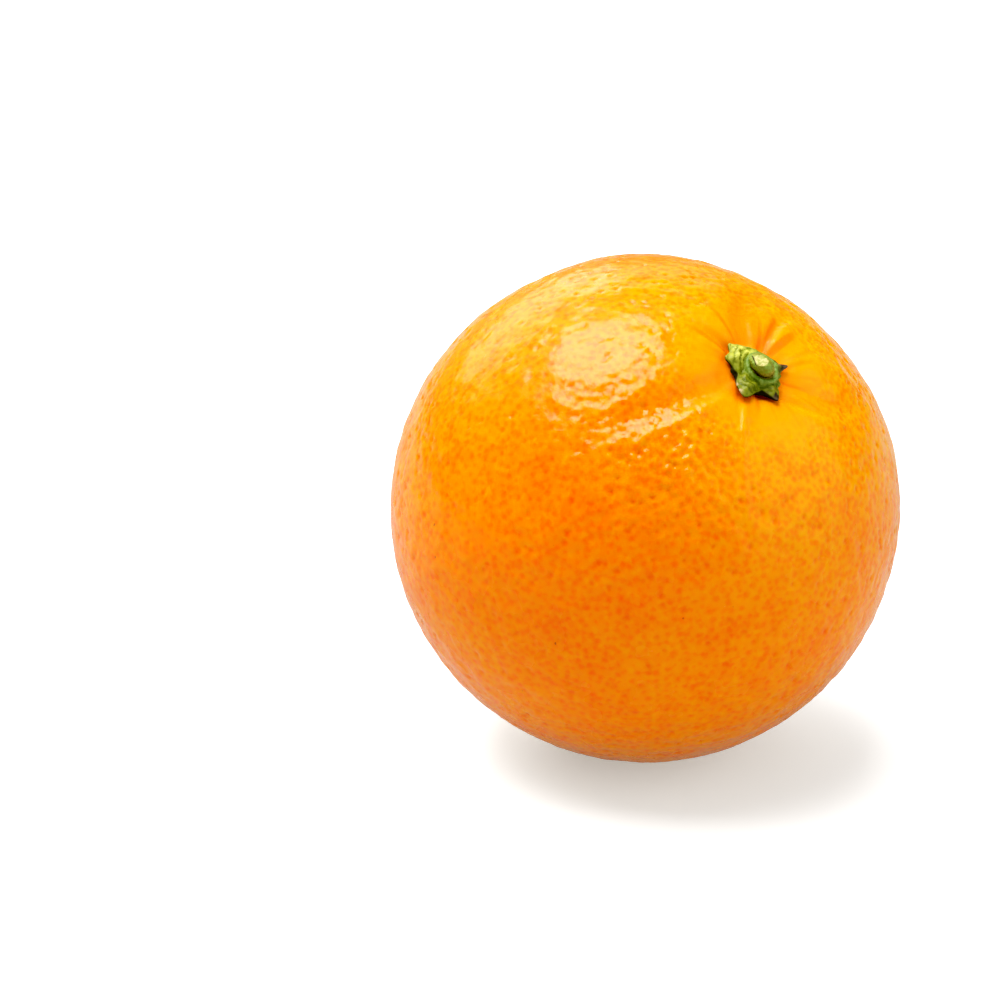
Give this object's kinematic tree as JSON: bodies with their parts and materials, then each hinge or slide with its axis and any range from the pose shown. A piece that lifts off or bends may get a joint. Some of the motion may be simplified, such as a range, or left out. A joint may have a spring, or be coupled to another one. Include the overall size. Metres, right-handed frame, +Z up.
{
  "type": "orange",
  "caption": "Whole sweet orange lying at rest, with pitted peel, a creased stem end, a green star calyx and the cut stub of its stem.",
  "frame": {"origin": "on the surface that the orange lies on, under the middle of its box", "axes": "+Z up from the resting spot; the stem end leans towards the front right, between +X and -Y"},
  "size_m": [0.0781, 0.0779, 0.0774],
  "materials": {
    "peel": "waxy orange citrus peel, satin gloss over small pits",
    "calyx": "fleshy green, dull, browner at the tips",
    "stem": "green bark with a pale freshly cut top"
  },
  "bodies": {
    "root": {"fruit": "peel", "calyx": "calyx", "stem_stub": "stem"}
  },
  "joints": []
}
